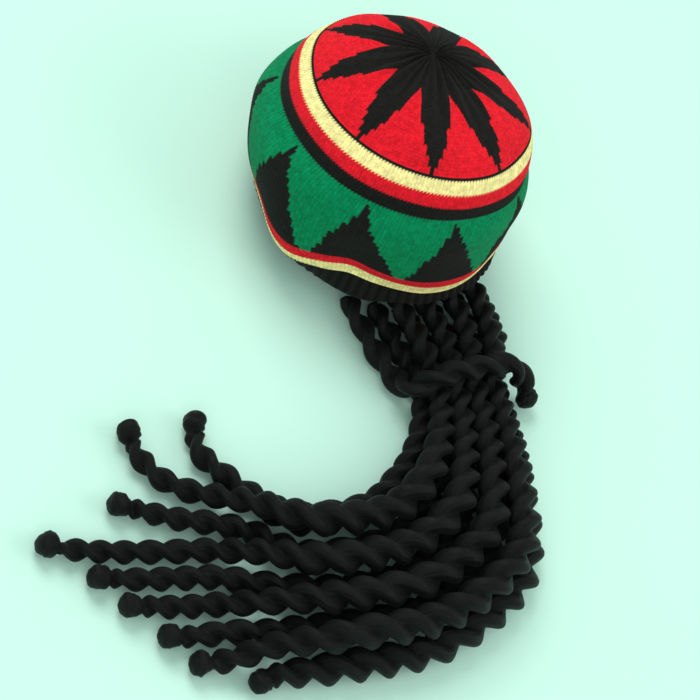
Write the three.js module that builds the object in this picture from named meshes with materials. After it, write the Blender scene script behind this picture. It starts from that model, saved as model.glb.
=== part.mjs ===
// A knitted beanie (a roomy striped tam) with ten rope-twisted dreadlocks hanging from its hem.
// The hat stands on its hem, propped a little by the locks that pass out under it.
// The locks lie on the same surface, gathered by one of them that is wrapped over the bundle.
// Units are millimetres, +Z is up, and the origin is on the surface under the middle of the hat's box.
// Every table is laid out from the middle of the hem, and HAT_MIDDLE is where the origin is from there.
// Azimuth is measured round the hat from -Y towards +X.
import * as THREE from 'three';
import { mergeVertices } from 'three/addons/utils/BufferGeometryUtils.js';

// Driving dimensions of the knitted hat
const HEM_RADIUS = 92.5;
const TILT = THREE.MathUtils.degToRad(7.5);
const TILT_AZIMUTH = THREE.MathUtils.degToRad(45);
const PIVOT_RADIUS = 94;
const WALL = 3;
const RIB_HEIGHT = 20;
const RIB_BULGE = 1.5;
const RIB_ROWS = 3;
const SEAM_GAP = 0.15;
const DRAPE_HEIGHT = 55;
const AZIMUTH_STEPS = 54;
const LEAF_COUNT = 9;
const FAR_DIP_AZIMUTH = THREE.MathUtils.degToRad(10);
const HAT_MIDDLE = { x: -11.4, y: 5.7 };

// Driving dimensions of the locks
const LOCK_SIDES = 12;
const LOCK_STEP = 14;
const FLOOR_CLEARANCE = 0.2;
const KNOT_RADIUS = 8.9;
const END_RADIUS = 5.5;
const ROOT_RADII = [80, 95, 106];
const ROOT_SPREADS = [1.12, 1, 0.88];
const ROOT_MIDDLE = 63.5;

// Finishes
const BLACK_YARN = { color: 0x1b1c1b, roughness: 0.85, metalness: 0 };
const LOCK_YARN = { color: 0x151716, roughness: 0.7, metalness: 0 };
const RED_YARN = { color: 0xe4283a, roughness: 0.85, metalness: 0 };

// The wall of the hat, from the top of the rib to the gathered crown, along the tilted axis.
// right and near move a section sideways, farDip lowers its far side, pleat is the gathers' height.
const SECTIONS = [
  { height: 20, radius: 95.5, right: -1, near: 0, farDip: 0, pleat: 0 },
  { height: 36, radius: 101, right: -4.5, near: 0, farDip: 0, pleat: 0 },
  { height: 54, radius: 104.5, right: -8, near: 0, farDip: 0, pleat: 0 },
  { height: 72, radius: 105.5, right: -8.5, near: 0, farDip: 2, pleat: 0 },
  { height: 84, radius: 102, right: -7.5, near: 0, farDip: 5, pleat: 0 },
  { height: 94, radius: 95.5, right: -5.5, near: -1, farDip: 8, pleat: 0 },
  { height: 104, radius: 93.5, right: -5, near: -1, farDip: 9, pleat: 0 },
  { height: 113, radius: 90, right: -5, near: -2, farDip: 8, pleat: 0 },
  { height: 122, radius: 83.5, right: -5, near: -3.5, farDip: 8, pleat: 0.4 },
  { height: 135, radius: 69, right: -5.5, near: -2, farDip: 5, pleat: 0.9 },
  { height: 147, radius: 47, right: -7.5, near: 0, farDip: 2, pleat: 1.5 },
  { height: 155, radius: 25, right: -9, near: 0, farDip: 0, pleat: 1.8 },
  { height: 158.5, radius: 12, right: -10, near: 0, farDip: 0, pleat: 1.2 },
];
const APEX = { height: 156, radius: 0, right: -10, near: 0, farDip: 0, pleat: 0 };

// The hem, by azimuth: how far its edge stands out and how high it rides over the locks,
// and how far the top of the rib is pushed out and lifted from its plain ring.
const HEM = [
  { azimuth: -180, edgeOut: 0, edgeHeight: 0, ribOut: 0, ribLift: 0 },
  { azimuth: -130, edgeOut: 0, edgeHeight: 0, ribOut: 0, ribLift: -2 },
  { azimuth: -105, edgeOut: 2, edgeHeight: 0, ribOut: 3, ribLift: -2 },
  { azimuth: -84, edgeOut: -4, edgeHeight: 0, ribOut: 0, ribLift: -1 },
  { azimuth: -60, edgeOut: -11, edgeHeight: 4, ribOut: 0, ribLift: -2 },
  { azimuth: -38, edgeOut: -14, edgeHeight: 9, ribOut: 0, ribLift: -4 },
  { azimuth: -14, edgeOut: -9, edgeHeight: 14, ribOut: 6, ribLift: -8 },
  { azimuth: 2, edgeOut: -6, edgeHeight: 18, ribOut: 0, ribLift: -1 },
  { azimuth: 13, edgeOut: -3, edgeHeight: 21, ribOut: -3, ribLift: 6 },
  { azimuth: 25, edgeOut: 0, edgeHeight: 25, ribOut: -2, ribLift: 5 },
  { azimuth: 37, edgeOut: 2, edgeHeight: 32.5, ribOut: -1, ribLift: 2 },
  { azimuth: 50, edgeOut: 3, edgeHeight: 32.6, ribOut: 0, ribLift: 0 },
  { azimuth: 90, edgeOut: 5, edgeHeight: 32.6, ribOut: 1, ribLift: 1 },
  { azimuth: 104, edgeOut: 5, edgeHeight: 20, ribOut: 4, ribLift: -2 },
  { azimuth: 122, edgeOut: 3, edgeHeight: 4, ribOut: 2, ribLift: -5 },
  { azimuth: 140, edgeOut: 0, edgeHeight: 0, ribOut: 0, ribLift: -6 },
];

// The bundle of locks passes these stations: its middle and the heading of its across axis.
// The locks lie in two nested layers, flattest and tightest where the tie presses on them.
const STATIONS = [
  { name: 'gather', x: 111, y: -61.5, heading: 52, radius: 8.3 },
  { name: 'tie', x: 128, y: -81.6, heading: 46, radius: 7.5 },
  { name: 'past_tie', x: 137, y: -90.4, heading: 44, radius: 7.5 },
  { name: 'opening', x: 155, y: -115, heading: 37, radius: 8.4 },
  { name: 'swell', x: 171, y: -144, heading: 24, radius: 10 },
  { name: 'bend', x: 187, y: -190, heading: 2, radius: 12.7 },
  { name: 'turned', x: 174, y: -248, heading: -30, radius: 12.7 },
  { name: 'straight', x: 133, y: -300, heading: -38, radius: 12.3 },
  { name: 'fan', x: 112, y: -309, heading: -46, radius: 10.9 },
  { name: 'spread', x: 91, y: -321, heading: -52, radius: 9.4 },
];
const ROOT_LOCK_RADII = [7.4, 8.6, 8.2];
const TAIL_RADIUS = 9;
const TIP_RADIUS = 7.4;

// Each lock: the azimuth of its root, its height under the hem and just outside it,
// its place across and above the surface at each station, and the free points of its tail.
const LOCKS = [
  {
    name: 'lock_01', azimuth: 44, under: 23, outside: 23,
    bundle: [[-29, 23.2], [-23.1, 21.4], [-23.2, 21.4], [-26.2, 24], [-31.2, 28.7],
      [-40.8, 35.6], [-40.8, 35.6], [-44, 36.6], [-42, 33.4], [-48, 26.6]],
    tail: [[38, -289, 14], [20, -296, 9], [2, -301, 9], [-15, -299, 9], [-30, -291, 8], [-42, -281, 8]],
  },
  {
    name: 'lock_02', azimuth: 37.5, under: 9, outside: 9,
    bundle: [[-38.6, 8.8], [-30.8, 7.8], [-31, 7.8], [-35.4, 8.8], [-42, 10.4],
      [-54, 13], [-54, 13], [-56, 12.8], [-55, 12], [-65, 10]],
    tail: [[30, -268.5, 9], [13, -266, 9], [0, -256, 9], [-8, -241, 8]],
  },
  {
    name: 'lock_03', azimuth: 50.5, under: 9, outside: 9,
    bundle: [[-19.3, 8.8], [-15.4, 7.8], [-15.6, 7.8], [-17.5, 8.8], [-20.8, 10.4],
      [-27, 13], [-27, 13], [-27, 13], [-26, 12], [-34, 10]],
    tail: [[48, -305, 9], [28, -318, 9], [8, -329, 9], [-18, -341, 8]],
  },
  {
    name: 'lock_04', azimuth: 57, under: 23, outside: 23,
    bundle: [[-9.6, 23.2], [-7.7, 21.4], [-7.7, 21.4], [-8.8, 23.9], [-10.4, 28.4],
      [-13.6, 35.6], [-13.6, 35.6], [-14, 36], [-11, 32], [-14, 22]],
    tail: [[58, -323, 10], [38, -341, 9], [18, -359, 9], [-2, -376, 9], [-22, -390, 8], [-38, -398, 8]],
  },
  {
    name: 'lock_05', azimuth: 64.5, under: 9, outside: 9,
    bundle: [[0, 8.8], [0, 7.8], [0, 7.8], [0, 8.8], [0, 10.4],
      [0, 13], [0, 13], [0, 13], [4, 12], [4, 10]],
    tail: [[70, -338, 9], [50, -356, 9], [31, -374, 9], [11, -389, 8], [2, -396, 8]],
  },
  {
    name: 'lock_06', azimuth: 71.5, under: 23, outside: 23,
    bundle: [[10, 23.2], [7.9, 21.4], [7.9, 21.4], [8.8, 23.9], [10.4, 28.4],
      [13.6, 35.6], [13.6, 35.6], [13.6, 35.4], [19, 30], [22, 21]],
    tail: [[83, -353, 10], [64, -371, 9], [46, -386, 9], [29, -399, 8]],
  },
  {
    name: 'lock_07', azimuth: 78.5, under: 9, outside: 9,
    bundle: [[20, 8.8], [15.8, 7.8], [15.7, 7.8], [17.6, 8.8], [20.8, 10.4],
      [27, 13], [27, 13], [27, 13], [34, 12], [39, 10]],
    tail: [[96, -367.6, 9], [79, -386, 9], [61, -400, 8]],
  },
  {
    name: 'lock_08', azimuth: 85.5, under: 23, outside: 23,
    bundle: [[30.6, 23.6], [23.8, 21.4], [23.7, 21.4], [26.4, 23.9], [31.2, 28.4],
      [40.8, 35.6], [40.8, 35.6], [40.8, 35.4], [49, 30], [54.4, 22]],
    tail: [[110, -382, 13], [98, -394, 9], [88, -403, 8]],
  },
  {
    name: 'lock_09', azimuth: 92.5, under: 9, outside: 9,
    bundle: [[41, 8.8], [32, 7.8], [31.8, 7.8], [35.2, 8.8], [42, 10.4],
      [54, 13], [54, 13], [54, 13], [63, 12], [71, 10]],
    tail: [[130, -390, 8]],
  },
];

// The lock that ties the bundle: its root, its way along the bundle's side, then across the top
// of it at the tie station, as distances across, along and above the surface.
const TIE = {
  name: 'tie_lock', azimuth: 24.6, under: 9, outside: 9,
  tail: [[64, -100.4, 9.4], [79, -108.3, 9.4]],
  over: [
    [-48, -3, 11], [-47, 6, 18.5], [-39, 10, 30.5], [-24, 8, 38.4], [0, 4, 39.6], [25, 2, 39.2],
    [43, 5, 28.8], [51, 12, 14], [57, 22, 9.4],
  ],
};
const TIE_RADIUS = 8.6;

// The frame of the tilted hat
const axis = new THREE.Vector3(
  -Math.sin(TILT_AZIMUTH) * Math.sin(TILT),
  Math.cos(TILT_AZIMUTH) * Math.sin(TILT),
  Math.cos(TILT),
);
const near = new THREE.Vector3(0, -1, 0).addScaledVector(axis, axis.y).normalize();
const right = new THREE.Vector3().crossVectors(near, axis).negate();
const centre = new THREE.Vector3(0, 0, PIVOT_RADIUS * Math.sin(TILT));

function smoothStep(x) {
  const t = THREE.MathUtils.clamp(x, 0, 1);
  return t * t * (3 - 2 * t);
}

// A smooth value round the hem, between the rows of the HEM table (cubic Hermite, periodic).
function hemValue(column, degrees) {
  const count = HEM.length;
  const turn = ((degrees + 180) % 360 + 360) % 360 - 180;
  const row = (i) => {
    const wrapped = ((i % count) + count) % count;
    return { at: HEM[wrapped].azimuth + 360 * Math.floor(i / count), value: HEM[wrapped][column] };
  };
  let i = 0;
  while (i + 1 < count && HEM[i + 1].azimuth <= turn) {
    i += 1;
  }
  const [before, a, b, after] = [row(i - 1), row(i), row(i + 1), row(i + 2)];
  const span = b.at - a.at;
  const t = (turn - a.at) / span;
  const slopeA = (b.value - before.value) / (b.at - before.at) * span;
  const slopeB = (after.value - a.value) / (after.at - a.at) * span;
  return (2 * t ** 3 - 3 * t ** 2 + 1) * a.value + (t ** 3 - 2 * t ** 2 + t) * slopeA
    + (-2 * t ** 3 + 3 * t ** 2) * b.value + (t ** 3 - t ** 2) * slopeB;
}

// A point of the hat at an azimuth in radians, from its own section values.
function hatPoint(azimuth, radius, height, toRight, toNear) {
  return new THREE.Vector3().copy(centre)
    .addScaledVector(axis, height)
    .addScaledVector(near, Math.cos(azimuth) * radius + toNear)
    .addScaledVector(right, Math.sin(azimuth) * radius + toRight);
}

// A point of the wall, set in by a part of the wall's thickness along the section's own normal.
function wallPoint(index, azimuth, inset) {
  const section = SECTIONS[index];
  const below = SECTIONS[Math.max(index - 1, 0)];
  const above = SECTIONS[index + 1] ?? APEX;
  const run = new THREE.Vector2(above.radius - below.radius, above.height - below.height).normalize();
  const degrees = THREE.MathUtils.radToDeg(azimuth);
  const drape = 1 - smoothStep((section.height - RIB_HEIGHT) / DRAPE_HEIGHT);
  const dip = section.farDip * Math.max(0, -Math.cos(azimuth - FAR_DIP_AZIMUTH)) ** 1.2;
  const pleat = section.pleat * Math.cos(2 * LEAF_COUNT * azimuth);
  const radius = section.radius - inset * run.y + hemValue('ribOut', degrees) * drape;
  const height = section.height + inset * run.x + hemValue('ribLift', degrees) * drape - dip + pleat;
  return hatPoint(azimuth, radius, height, section.right, section.near);
}

// A point of the hem's edge, at its own height over the surface.
function hemPoint(azimuth, inset) {
  const degrees = THREE.MathUtils.radToDeg(azimuth);
  const point = hatPoint(azimuth, HEM_RADIUS + hemValue('edgeOut', degrees) - inset, 0, 0, 0);
  point.z = Math.max(hemValue('edgeHeight', degrees), 0);
  return point;
}

function azimuthAt(step) {
  return 2 * Math.PI * step / AZIMUTH_STEPS - Math.PI;
}

// A closed solid from rings of points that follow one another from the outer wall to the inner one.
// Where first and last are points, they close the two ends; otherwise the last ring joins the first.
function ringSolid(rings, firstPoint, lastPoint) {
  const positions = [];
  const count = AZIMUTH_STEPS;
  const triangle = (...points) => points.forEach((p) => positions.push(p.x, p.y, p.z));
  const strips = firstPoint ? rings.length - 1 : rings.length;
  for (let i = 0; i < strips; i += 1) {
    const lower = rings[i];
    const upper = rings[(i + 1) % rings.length];
    for (let j = 0; j < count; j += 1) {
      const k = (j + 1) % count;
      triangle(lower[j], lower[k], upper[k]);
      triangle(lower[j], upper[k], upper[j]);
    }
  }
  if (firstPoint) {
    const first = rings[0];
    const last = rings[rings.length - 1];
    for (let j = 0; j < count; j += 1) {
      const k = (j + 1) % count;
      triangle(firstPoint, first[k], first[j]);
      triangle(last[j], last[k], lastPoint);
    }
  }
  const geometry = new THREE.BufferGeometry();
  geometry.setAttribute('position', new THREE.Float32BufferAttribute(positions, 3));
  return mergeVertices(geometry, 1e-4);
}

function ringOf(pointAt) {
  return Array.from({ length: AZIMUTH_STEPS }, (_, step) => pointAt(azimuthAt(step)));
}

// The knitted body: inner wall from its apex down, lip at the rib, outer wall up to the apex.
function knitBody() {
  const rows = SECTIONS.map((_, index) => index);
  const lift = new THREE.Vector3().copy(axis).multiplyScalar(SEAM_GAP);
  const seam = (point, index) => (index === 0 ? point.add(lift) : point);
  const inner = rows.slice().reverse().map((i) => ringOf((a) => seam(wallPoint(i, a, WALL), i)));
  const outer = rows.map((i) => ringOf((a) => seam(wallPoint(i, a, 0), i)));
  const innerApex = hatPoint(0, 0, APEX.height - WALL, APEX.right, APEX.near);
  const outerApex = hatPoint(0, 0, APEX.height, APEX.right, APEX.near);
  return ringSolid([...inner, ...outer], innerApex, outerApex);
}

// The ribbed hem: a closed band between the hem's edge and the bottom of the body.
function ribBand() {
  const drop = new THREE.Vector3().copy(axis).multiplyScalar(-SEAM_GAP);
  const row = (share, inset) => ringOf((azimuth) => {
    const bulge = inset > 0 ? 0 : RIB_BULGE * Math.sin(Math.PI * share);
    const bottom = hemPoint(azimuth, inset - bulge);
    const top = wallPoint(0, azimuth, inset - bulge).add(drop);
    return bottom.lerp(top, share);
  });
  const shares = Array.from({ length: RIB_ROWS + 1 }, (_, i) => i / RIB_ROWS);
  const outer = shares.map((share) => row(share, 0));
  const inner = shares.slice().reverse().map((share) => row(share, WALL));
  return ringSolid([...outer, ...inner]);
}

// The way that a lock follows: under the hem, through the stations and out along its tail.
function lockRoute(lock) {
  const heights = [lock.under, lock.under, lock.outside];
  const root = ROOT_RADII.map((radius, i) => {
    const azimuth = THREE.MathUtils.degToRad(ROOT_MIDDLE + (lock.azimuth - ROOT_MIDDLE) * ROOT_SPREADS[i]);
    return new THREE.Vector3(radius * Math.sin(azimuth), -radius * Math.cos(azimuth), heights[i]);
  });
  const bundle = (lock.bundle ?? []).map(([across, up], i) => {
    const station = STATIONS[i];
    const heading = THREE.MathUtils.degToRad(station.heading);
    return new THREE.Vector3(
      station.x + across * Math.cos(heading), station.y + across * Math.sin(heading), up);
  });
  const tail = lock.tail.map(([x, y, z]) => new THREE.Vector3(x, y, z));
  const tie = STATIONS[1];
  const turn = THREE.MathUtils.degToRad(tie.heading);
  const over = (lock.over ?? []).map(([across, along, up]) => new THREE.Vector3(
    tie.x + across * Math.cos(turn) + along * Math.sin(turn),
    tie.y + across * Math.sin(turn) - along * Math.cos(turn),
    up));
  return [...root, ...bundle, ...tail, ...over];
}

// The radius of a lock at each point of its route: slim at the root, full in the bend, slim at the tip.
function lockRadii(lock, count) {
  if (lock === TIE) {
    return Array.from({ length: count }, (_, i) => ROOT_LOCK_RADII[i] ?? TIE_RADIUS);
  }
  const radii = [...ROOT_LOCK_RADII, ...STATIONS.map((station) => station.radius)];
  const free = count - radii.length;
  for (let i = 1; i <= free; i += 1) {
    const share = free > 1 ? (i - 1) / (free - 1) : 1;
    radii.push(THREE.MathUtils.lerp(TAIL_RADIUS, TIP_RADIUS, share));
  }
  return radii;
}

// A tube along the lock's route, first one millimetre in radius, then swollen ring by ring.
function lockGeometry(lock) {
  const route = lockRoute(lock);
  const radii = lockRadii(lock, route.length);
  const curve = new THREE.CatmullRomCurve3(route, false, 'centripetal');
  curve.arcLengthDivisions = 600;
  const steps = Math.round(curve.getLength() / LOCK_STEP);
  const section = new THREE.Shape(Array.from({ length: LOCK_SIDES }, (_, i) => {
    const angle = 2 * Math.PI * (i + 0.5) / LOCK_SIDES;
    return new THREE.Vector2(Math.cos(angle), Math.sin(angle));
  }));
  const tube = new THREE.ExtrudeGeometry(section, { steps, bevelEnabled: false, extrudePath: curve });
  const rings = Array.from({ length: steps + 1 }, (_, i) => {
    const place = curve.getUtoTmapping(i / steps) * (route.length - 1);
    const index = Math.min(Math.floor(place), route.length - 2);
    const along = THREE.MathUtils.lerp(radii[index], radii[index + 1], place - index);
    const radius = { [steps]: END_RADIUS, [steps - 1]: KNOT_RADIUS, [steps - 2]: TIP_RADIUS }[i] ?? along;
    const middle = curve.getPointAt(i / steps);
    const lift = Math.max(0, radius + FLOOR_CLEARANCE - middle.z);
    return { middle, radius, lift };
  });
  const position = tube.getAttribute('position');
  const vertex = new THREE.Vector3();
  for (let i = 0; i < position.count; i += 1) {
    vertex.fromBufferAttribute(position, i);
    const ring = rings.reduce((best, candidate) => (
      candidate.middle.distanceToSquared(vertex) < best.middle.distanceToSquared(vertex) ? candidate : best));
    vertex.sub(ring.middle).multiplyScalar(ring.radius).add(ring.middle);
    position.setXYZ(i, vertex.x, vertex.y, vertex.z + ring.lift);
  }
  tube.deleteAttribute('normal');
  tube.deleteAttribute('uv');
  return mergeVertices(tube, 1e-4);
}

function piece(name, geometry, finish) {
  geometry.translate(-HAT_MIDDLE.x, -HAT_MIDDLE.y, 0);
  geometry.computeVertexNormals();
  const mesh = new THREE.Mesh(geometry, new THREE.MeshStandardMaterial(finish));
  mesh.name = name;
  return mesh;
}

const beanie = new THREE.Group();
beanie.add(piece('knit_body', knitBody(), RED_YARN));
beanie.add(piece('rib_band', ribBand(), BLACK_YARN));
for (const lock of [...LOCKS, TIE]) {
  beanie.add(piece(lock.name, lockGeometry(lock), LOCK_YARN));
}

export default beanie;
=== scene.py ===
"""A knitted tam with dreadlocks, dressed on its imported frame.

Lengths are laid out in millimetres from the middle of the hem, as in the part's source, and
moved to the row frame in metres by to_row_frame. Azimuth runs round the hat from -Y towards +X.
"""

import logging
import math
from dataclasses import dataclass, field
from enum import Enum

import bpy
import numpy as np
from mathutils import Matrix, Vector


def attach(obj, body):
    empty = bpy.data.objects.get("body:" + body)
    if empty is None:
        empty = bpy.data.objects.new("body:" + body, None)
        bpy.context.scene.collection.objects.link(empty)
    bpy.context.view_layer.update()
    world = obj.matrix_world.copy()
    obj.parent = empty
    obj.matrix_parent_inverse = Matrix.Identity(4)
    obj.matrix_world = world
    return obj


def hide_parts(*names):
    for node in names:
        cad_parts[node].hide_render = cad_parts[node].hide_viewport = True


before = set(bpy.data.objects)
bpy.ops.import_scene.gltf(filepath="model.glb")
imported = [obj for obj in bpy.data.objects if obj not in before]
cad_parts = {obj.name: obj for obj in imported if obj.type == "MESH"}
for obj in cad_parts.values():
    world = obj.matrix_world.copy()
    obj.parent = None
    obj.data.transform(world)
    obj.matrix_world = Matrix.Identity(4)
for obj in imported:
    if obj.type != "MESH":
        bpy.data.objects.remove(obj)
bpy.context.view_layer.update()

LOG = logging.getLogger("tam")
HAT_MIDDLE_MM = np.array((-11.4, 5.7, 0.0))
Array = np.ndarray


def to_row_frame(points_mm: Array) -> Array:
    """Points in the row frame in metres, from points in millimetres laid out from the hem's middle."""
    return (np.asarray(points_mm, float) - HAT_MIDDLE_MM) * 0.001


def linear_colour(hex_colour: str) -> tuple[float, float, float, float]:
    """The linear colour of an sRGB hex colour.

    Args:
        hex_colour: six hex digits, such as "e4283a".

    Returns:
        Red, green, blue and alpha as Blender's sockets take them.
    """
    parts = [int(hex_colour[i:i + 2], 16) / 255 for i in (0, 2, 4)]
    return tuple(c / 12.92 if c <= 0.04045 else ((c + 0.055) / 1.055) ** 2.4 for c in parts) + (1.0,)


def smooth_step(x: Array) -> Array:
    """0 below 0, 1 above 1, and 3x^2 - 2x^3 between."""
    t = np.clip(x, 0.0, 1.0)
    return t * t * (3 - 2 * t)


def centripetal_curve(points: Array, samples: int) -> tuple[Array, Array]:
    """A centripetal Catmull-Rom curve through the points, evened out by its own length.

    Each span is the usual pyramid of three blends, with knots spaced by the square root of the
    distance between the points, and a mirrored point is added at each end.

    Args:
        points: the points, one row each.
        samples: how many evenly spaced places are returned.

    Returns:
        The places, and for each place its position counted in points.
    """
    ends = np.vstack([2 * points[0] - points[1], points, 2 * points[-1] - points[-2]])
    spans = len(points) - 1
    place = np.linspace(0, spans, spans * 40 + 1)
    i = np.minimum(place.astype(int), spans - 1)
    p = [ends[i + k] for k in range(4)]
    step = [np.sqrt(np.linalg.norm(p[k + 1] - p[k], axis=1))[:, None] for k in range(3)]
    t0 = np.zeros_like(step[0])
    t1, t2, t3 = step[0], step[0] + step[1], step[0] + step[1] + step[2]
    t = t1 + step[1] * (place - i)[:, None]
    a1 = (p[0] * (t1 - t) + p[1] * (t - t0)) / (t1 - t0)
    a2 = (p[1] * (t2 - t) + p[2] * (t - t1)) / (t2 - t1)
    a3 = (p[2] * (t3 - t) + p[3] * (t - t2)) / (t3 - t2)
    b1 = (a1 * (t2 - t) + a2 * (t - t0)) / (t2 - t0)
    b2 = (a2 * (t3 - t) + a3 * (t - t1)) / (t3 - t1)
    line = (b1 * (t2 - t) + b2 * (t - t1)) / (t2 - t1)
    along = np.concatenate([[0], np.cumsum(np.linalg.norm(np.diff(line, axis=0), axis=1))])
    even = np.linspace(0, along[-1], samples)
    places = np.stack([np.interp(even, along, line[:, k]) for k in range(line.shape[1])], axis=1)
    return places, np.interp(even, along, place)


def carried_frame(line: Array) -> tuple[Array, Array]:
    """Two directions square to a line, carried along it without turning round it.

    Args:
        line: the places of the line, one row each.

    Returns:
        The two directions at each place.
    """
    forward = np.gradient(line, axis=0)
    forward /= np.linalg.norm(forward, axis=1, keepdims=True)
    sides = np.empty_like(forward)
    side = np.cross(forward[0], (0.0, 0.0, 1.0))
    for i, way in enumerate(forward):
        side = side - way * (side @ way)
        side /= np.linalg.norm(side)
        sides[i] = side
    return sides, np.cross(sides, forward)


def grid_mesh(name: str, points: Array, uv: Array, start_pole: Array | None = None,
              end_pole: Array | None = None) -> bpy.types.Object:
    """A mesh object from a grid of points whose columns close on themselves.

    Rows follow one another up or along the piece, and columns run round it. Each cell is a quad,
    and each pole is one point joined to the row next to it by triangles.

    Args:
        name: the object's name.
        points: rows x columns x 3, in millimetres.
        uv: rows x (columns + 1) x 2, the last column being the first one after a full turn.
        start_pole: the point that closes the first row, if any.
        end_pole: the point that closes the last row, if any.

    Returns:
        The object, at the origin, with smooth faces and a UV layer named "stitch".
    """
    rows, columns = points.shape[:2]
    row, column = (g.ravel() for g in np.meshgrid(np.arange(rows - 1), np.arange(columns), indexing="ij"))
    following = (column + 1) % columns
    quads = np.stack([row * columns + column, row * columns + following,
                      (row + 1) * columns + following, (row + 1) * columns + column], axis=1)
    quad_uv = np.stack([uv[row, column], uv[row, column + 1],
                        uv[row + 1, column + 1], uv[row + 1, column]], axis=1)
    flat = [points.reshape(-1, 3)]
    loops, loop_uv, sizes = [quads.ravel()], [quad_uv.reshape(-1, 2)], [np.full(len(quads), 4)]
    ring = np.arange(columns)
    after = (ring + 1) % columns
    count = rows * columns
    for pole, base, closing in ((start_pole, 0, True), (end_pole, rows - 1, False)):
        if pole is None:
            continue
        flat.append(np.asarray(pole, float).reshape(1, 3))
        one, two = (after, ring) if closing else (ring, after)
        fan = np.stack([base * columns + one, base * columns + two, np.full(columns, count)], axis=1)
        one_uv, two_uv = (ring + 1, ring) if closing else (ring, ring + 1)
        fan_uv = np.stack([uv[base, one_uv], uv[base, two_uv], uv[base, ring]], axis=1)
        loops.append(fan.ravel())
        loop_uv.append(fan_uv.reshape(-1, 2))
        sizes.append(np.full(columns, 3))
        count += 1
    vertices, corners, sizes = np.concatenate(flat), np.concatenate(loops), np.concatenate(sizes)
    mesh = bpy.data.meshes.new(name)
    mesh.vertices.add(len(vertices))
    mesh.vertices.foreach_set("co", to_row_frame(vertices).astype(np.float32).ravel())
    mesh.loops.add(len(corners))
    mesh.loops.foreach_set("vertex_index", corners.astype(np.int32))
    mesh.polygons.add(len(sizes))
    mesh.polygons.foreach_set("loop_start", np.concatenate([[0], np.cumsum(sizes)[:-1]]).astype(np.int32))
    mesh.polygons.foreach_set("use_smooth", np.ones(len(sizes), bool))
    mesh.uv_layers.new(name="stitch").data.foreach_set(
        "uv", np.concatenate(loop_uv).astype(np.float32).ravel())
    mesh.update(calc_edges=True)
    mesh.validate()
    piece = bpy.data.objects.new(name, mesh)
    bpy.context.scene.collection.objects.link(piece)
    return piece


def paint(piece: bpy.types.Object, name: str, colours: Array) -> None:
    """Stores one linear colour for each point of a piece under an attribute name."""
    padded = np.vstack([colours, np.tile(colours[-1:], (len(piece.data.vertices) - len(colours), 1))])
    layer = piece.data.color_attributes.new(name=name, type="FLOAT_COLOR", domain="POINT")
    layer.data.foreach_set("color", padded.astype(np.float32).ravel())


def add_node(tree: bpy.types.NodeTree, kind: str, settings: dict | None = None,
             links: dict | None = None) -> bpy.types.Node:
    """Adds a node to a material.

    Args:
        tree: the material's node tree.
        kind: the node's type name.
        settings: values by input name, or by property name where it is no input.
        links: output sockets by input name or number.

    Returns:
        The node.
    """
    node = tree.nodes.new(kind)
    for key, value in (settings or {}).items():
        if isinstance(key, int) or key in node.inputs:
            node.inputs[key].default_value = value
        else:
            setattr(node, key, value)
    for key, socket in (links or {}).items():
        tree.links.new(socket, node.inputs[key])
    return node


def new_material(name: str) -> tuple[bpy.types.Material, bpy.types.NodeTree]:
    """An empty node material of that name, and its tree."""
    material = bpy.data.materials.new(name)
    material.use_nodes = True
    material.node_tree.nodes.clear()
    return material, material.node_tree


class Yarn(Enum):
    """The yarns of the hat, by the sRGB colour of the yarn itself."""

    BLACK = "1c1b19"
    RED = "ea1c2b"
    YELLOW = "ffeda2"
    GREEN = "028554"


@dataclass(frozen=True)
class JacquardKnit:
    """Acrylic yarn knitted in stockinette, its colour, with painted shade darkening the grooves and the
    rib's valleys, read from the stitches' own attribute.
    """

    fibre_mm: float = 0.5
    tuft_mm: float = 3.0
    roughness: float = 0.9
    specular: float = 0.08
    sheen: float = 0.03
    bump_mm: float = 0.25

    def material(self) -> bpy.types.Material:
        """Builds the finish: yarn colour with its painted shade, lighter fibres on it, and a fine woolly
        bump.
        """
        material, tree = new_material("acrylic_yarn_jacquard_knitted")
        # The stitches' yarn colour, with painted shade in the knit's grooves and the rib's valleys
        yarn = add_node(tree, "ShaderNodeAttribute", {"attribute_name": "yarn_colour_and_painted_shade"})
        place = add_node(tree, "ShaderNodeTexCoord")
        # Fibres: fine light and dark flecks, which give the eye the fuzz of spun acrylic.
        fibres = add_node(tree, "ShaderNodeTexNoise",
                          {"Scale": 1000 / self.fibre_mm, "Detail": 3.0, "Roughness": 0.6},
                          {"Vector": place.outputs["Object"]})
        fleck = add_node(tree, "ShaderNodeMapRange",
                         {"From Min": 0.3, "From Max": 0.7, "To Min": 0.72, "To Max": 1.25},
                         {"Value": fibres.outputs["Fac"]})
        # Tufts: slow changes in tone, as yarn takes dye and light unevenly along its length.
        tufts = add_node(tree, "ShaderNodeTexNoise",
                         {"Scale": 1000 / self.tuft_mm, "Detail": 2.0},
                         {"Vector": place.outputs["Object"]})
        tone = add_node(tree, "ShaderNodeMapRange",
                        {"From Min": 0.3, "From Max": 0.7, "To Min": 0.85, "To Max": 1.12},
                        {"Value": tufts.outputs["Fac"]})
        both = add_node(tree, "ShaderNodeMath", {"operation": "MULTIPLY"},
                        {0: fleck.outputs["Result"], 1: tone.outputs["Result"]})
        colour = add_node(tree, "ShaderNodeVectorMath", {"operation": "SCALE"},
                          {0: yarn.outputs["Color"], "Scale": both.outputs["Value"]})
        bump = add_node(tree, "ShaderNodeBump",
                        {"Strength": 0.8, "Distance": self.bump_mm * 0.001},
                        {"Height": fibres.outputs["Fac"]})
        shader = add_node(tree, "ShaderNodeBsdfPrincipled",
                          {"Roughness": self.roughness, "Sheen Weight": self.sheen,
                           "Sheen Roughness": 0.5, "Specular IOR Level": self.specular},
                          {"Base Color": colour.outputs["Vector"], "Normal": bump.outputs["Normal"]})
        add_node(tree, "ShaderNodeOutputMaterial", None, {"Surface": shader.outputs["BSDF"]})
        return material


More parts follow.
